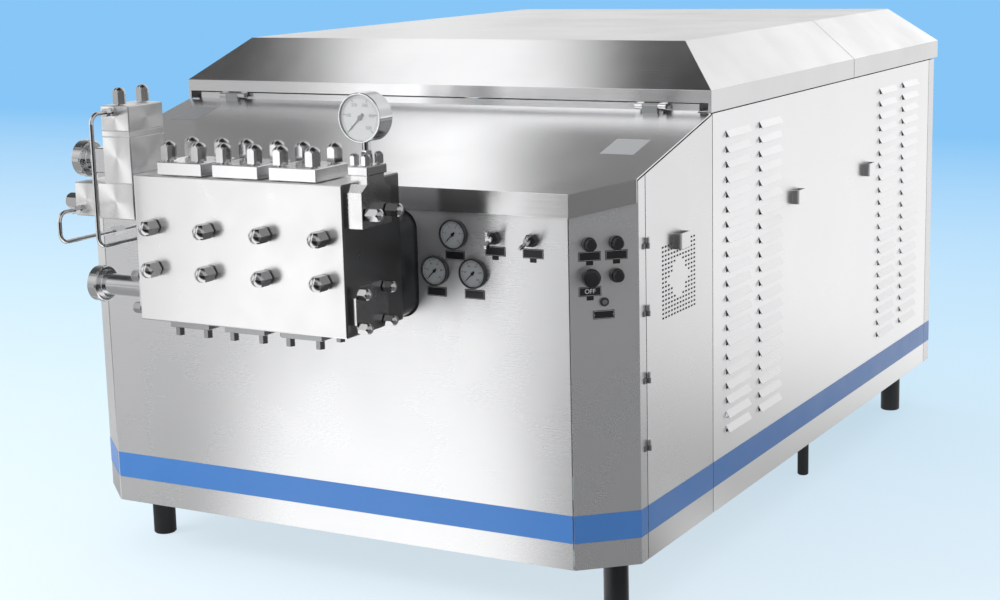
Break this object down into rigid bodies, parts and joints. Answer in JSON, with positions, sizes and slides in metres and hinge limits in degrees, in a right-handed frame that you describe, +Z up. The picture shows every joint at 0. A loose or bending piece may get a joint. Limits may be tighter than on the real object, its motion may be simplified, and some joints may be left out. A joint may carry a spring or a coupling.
{
  "type": "dairy homogenizer",
  "caption": "High-pressure plunger homogenizer: polished pump block with valve head and gauges on the sloping front of a louvred stainless cabinet on short legs, belt drive inside.",
  "frame": {"origin": "on the floor under the middle of the footprint", "axes": "+X to the right seen from the pump block's side, +Y from the pump block to the back, +Z up"},
  "size_m": [1.598, 2.825, 1.3],
  "materials": {
    "cabinet_steel": "brushed",
    "polished_steel": "polished",
    "dark_steel": "satin",
    "bezel": "satin",
    "painted_casting": "painted",
    "pulley_iron": "machined",
    "black_plastic": "satin",
    "belt_rubber": "matte",
    "clear_glass": "gloss"
  },
  "bodies": {
    "machine": {"base_frame": "dark_steel", "legs": "dark_steel", "panel_frame": "cabinet_steel", "front_panel": "cabinet_steel", "control_panel": "cabinet_steel", "left_corner_panel": "cabinet_steel", "hood": "cabinet_steel", "rear_panel": "cabinet_steel", "hinges": "cabinet_steel", "panel_gauges": "bezel", "gauge_glasses": "clear_glass", "block_gauge": "polished_steel", "valve_stems": "polished_steel", "button_bezels": "bezel", "pump_block": "polished_steel", "tie_studs": "cabinet_steel", "cap_nuts": "polished_steel", "hex_bolts": "cabinet_steel", "valve_covers": "polished_steel", "suction_covers": "polished_steel", "suction_flanges": "polished_steel", "gauge_mount": "polished_steel", "stage_block": "polished_steel", "second_stage": "polished_steel", "first_stage": "polished_steel", "first_stage_cap": "polished_steel", "outlet_union": "polished_steel", "inlet_union": "polished_steel", "pressure_tubes": "polished_steel", "plunger_housing": "dark_steel", "plunger_glands": "cabinet_steel", "crankcase": "painted_casting", "crankcase_cover": "painted_casting", "motor": "painted_casting", "motor_rails": "dark_steel", "drive_belts": "belt_rubber"},
    "plunger_left": {"plunger_left": "polished_steel"},
    "plunger_middle": {"plunger_middle": "polished_steel"},
    "plunger_right": {"plunger_right": "polished_steel"},
    "driven_pulley": {"driven_pulley": "pulley_iron"},
    "motor_pulley": {"motor_pulley": "pulley_iron"},
    "lid_front": {"lid_front": "cabinet_steel"},
    "lid_rear": {"lid_rear": "cabinet_steel"},
    "right_door": {"right_door": "cabinet_steel"},
    "left_door": {"left_door": "cabinet_steel"},
    "right_side_panel": {"right_side_panel": "cabinet_steel"},
    "left_side_panel": {"left_side_panel": "cabinet_steel"},
    "pointer_top": {"pointer_top": "black_plastic"},
    "pointer_left": {"pointer_left": "black_plastic"},
    "pointer_right": {"pointer_right": "black_plastic"},
    "block_pointer": {"block_pointer": "black_plastic"},
    "wing_handle_left": {"wing_handle_left": "black_plastic"},
    "wing_handle_right": {"wing_handle_right": "black_plastic"},
    "start_button": {"start_button": "black_plastic"},
    "jog_button": {"jog_button": "black_plastic"},
    "reset_button": {"reset_button": "black_plastic"},
    "stop_button": {"stop_button": "black_plastic"},
    "key_rotor": {"key_rotor": "polished_steel"}
  },
  "joints": [
    {"name": "plunger_left_stroke", "type": "slide", "parent": "machine", "child": "plunger_left", "axis": [0, 1, 0], "range_m": [-0.035, 0.035]},
    {"name": "plunger_middle_stroke", "type": "slide", "parent": "machine", "child": "plunger_middle", "axis": [0, 1, 0], "range_m": [-0.035, 0.035]},
    {"name": "plunger_right_stroke", "type": "slide", "parent": "machine", "child": "plunger_right", "axis": [0, 1, 0], "range_m": [-0.035, 0.035]},
    {"name": "driven_pulley_spin", "type": "hinge", "parent": "machine", "child": "driven_pulley", "pos_m": [0.465, -0.3175, 0.7], "axis": [1, 0, 0], "continuous": true},
    {"name": "motor_pulley_spin", "type": "hinge", "parent": "machine", "child": "motor_pulley", "pos_m": [0.465, 0.7375, 0.563], "axis": [1, 0, 0], "continuous": true},
    {"name": "lid_front_tilt", "type": "hinge", "parent": "machine", "child": "lid_front", "pos_m": [0, -0.4885, 1.152], "axis": [1, 0, 0], "range_deg": [0, 75]},
    {"name": "lid_rear_tilt", "type": "hinge", "parent": "machine", "child": "lid_rear", "pos_m": [0, 1.3885, 1.129], "axis": [-1, 0, 0], "range_deg": [0, 75]},
    {"name": "right_door_swing", "type": "hinge", "parent": "machine", "child": "right_door", "pos_m": [0.785, -0.863, 0.64], "axis": [0, 0, -1], "range_deg": [0, 110]},
    {"name": "left_door_swing", "type": "hinge", "parent": "machine", "child": "left_door", "pos_m": [-0.785, -0.863, 0.64], "axis": [0, 0, 1], "range_deg": [0, 110]},
    {"name": "right_side_panel_lift_off", "type": "slide", "parent": "machine", "child": "right_side_panel", "axis": [1, 0, 0], "range_m": [0, 0.4]},
    {"name": "left_side_panel_lift_off", "type": "slide", "parent": "machine", "child": "left_side_panel", "axis": [-1, 0, 0], "range_m": [0, 0.4]},
    {"name": "pointer_top_turn", "type": "hinge", "parent": "machine", "child": "pointer_top", "pos_m": [0.371, -1.0075, 0.904], "axis": [0, 1, 0], "range_deg": [0, 270], "stiffness_Nm_per_rad": 0.005},
    {"name": "pointer_left_turn", "type": "hinge", "parent": "machine", "child": "pointer_left", "pos_m": [0.32, -1.0075, 0.817], "axis": [0, 1, 0], "range_deg": [0, 270], "stiffness_Nm_per_rad": 0.005},
    {"name": "pointer_right_turn", "type": "hinge", "parent": "machine", "child": "pointer_right", "pos_m": [0.42, -1.0075, 0.817], "axis": [0, 1, 0], "range_deg": [0, 270], "stiffness_Nm_per_rad": 0.005},
    {"name": "block_pointer_turn", "type": "hinge", "parent": "machine", "child": "block_pointer", "pos_m": [0.302, -1.2535, 1.192], "axis": [0, 1, 0], "range_deg": [0, 270], "stiffness_Nm_per_rad": 0.005},
    {"name": "wing_handle_left_turn", "type": "hinge", "parent": "machine", "child": "wing_handle_left", "pos_m": [0.476, -1.0075, 0.902], "axis": [0, -1, 0], "range_deg": [0, 720]},
    {"name": "wing_handle_right_turn", "type": "hinge", "parent": "machine", "child": "wing_handle_right", "pos_m": [0.572, -1.0075, 0.902], "axis": [0, -1, 0], "range_deg": [0, 720]},
    {"name": "start_button_press", "type": "slide", "parent": "machine", "child": "start_button", "axis": [-0.6752, 0.7377, 0], "range_m": [0, 0.004], "stiffness_N_per_m": 800},
    {"name": "jog_button_press", "type": "slide", "parent": "machine", "child": "jog_button", "axis": [-0.6752, 0.7377, 0], "range_m": [0, 0.004], "stiffness_N_per_m": 800},
    {"name": "reset_button_press", "type": "slide", "parent": "machine", "child": "reset_button", "axis": [-0.6752, 0.7377, 0], "range_m": [0, 0.004], "stiffness_N_per_m": 800},
    {"name": "stop_button_press", "type": "slide", "parent": "machine", "child": "stop_button", "axis": [-0.6752, 0.7377, 0], "range_m": [0, 0.004], "stiffness_N_per_m": 800},
    {"name": "key_rotor_turn", "type": "hinge", "parent": "machine", "child": "key_rotor", "pos_m": [0.71954, -0.95484, 0.764], "axis": [-0.6752, 0.7377, 0], "range_deg": [0, 90]}
  ],
  "couplings": [
    {"joint": "motor_pulley_spin", "follows": "driven_pulley_spin", "ratio": 2.5}
  ]
}
